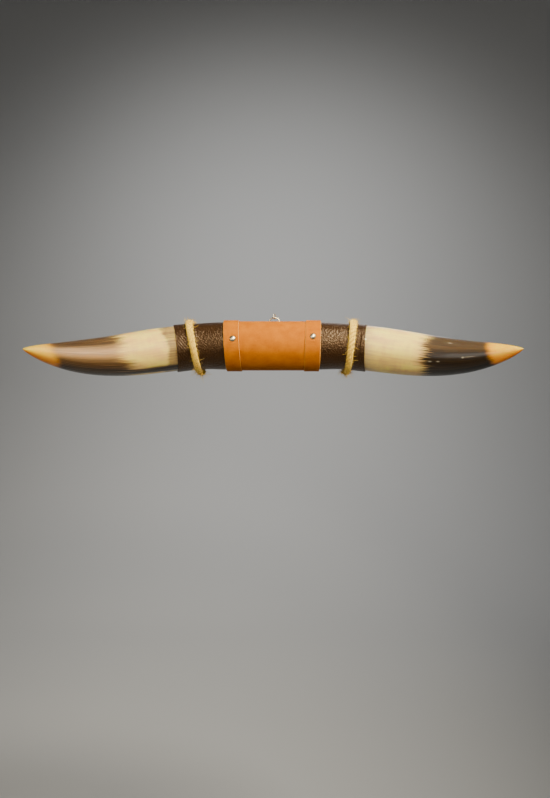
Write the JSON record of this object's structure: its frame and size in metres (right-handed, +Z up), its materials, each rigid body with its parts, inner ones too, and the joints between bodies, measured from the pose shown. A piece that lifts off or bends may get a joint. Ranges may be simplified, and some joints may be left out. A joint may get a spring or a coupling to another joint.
{
  "type": "mounted pair of horns",
  "caption": "Pair of polished cream, brown and black horns curving forward from a leather-wrapped bar with tan straps, studs and rope ties, hung from a small ring.",
  "frame": {"origin": "the point inside the top of the hanging link where a nail holds the object", "axes": "+X along the bar to the viewer's right, +Y from the viewer to the wall, +Z up"},
  "size_m": [0.4578, 0.1016, 0.0688],
  "materials": {
    "horn_left": "polished horn, cream and brown with an amber tip",
    "horn_right": "polished horn, cream and near black with an amber tip",
    "wood": "turned, bare",
    "brown_leather": "pebbled grain, semi-gloss",
    "tan_leather": "smooth, satin",
    "rope": "hairy twisted jute",
    "brass": "bright"
  },
  "bodies": {
    "horn_bar": {"horn_left": "horn_left", "horn_right": "horn_right", "core": "wood", "leather_sleeve": "brown_leather", "centre_panel": "tan_leather", "strap_left": "tan_leather", "strap_right": "tan_leather", "rope_left": "rope", "rope_right": "rope", "stud_front_left": "brass", "stud_front_right": "brass", "stud_back_left": "brass", "stud_back_right": "brass", "edge_tack": "brass", "screw_eye": "brass"},
    "ring": {"hanging_ring": "brass"},
    "link": {"hanging_link": "brass"}
  },
  "joints": [
    {"name": "ring_swing", "type": "hinge", "parent": "horn_bar", "child": "ring", "pos_m": [0, 0, -0.01455], "axis": [1, 0, 0], "range_deg": [-110, 55]},
    {"name": "link_swing", "type": "hinge", "parent": "ring", "child": "link", "pos_m": [0, 0, -0.00315], "axis": [1, 0, 0], "range_deg": [-60, 60]}
  ]
}
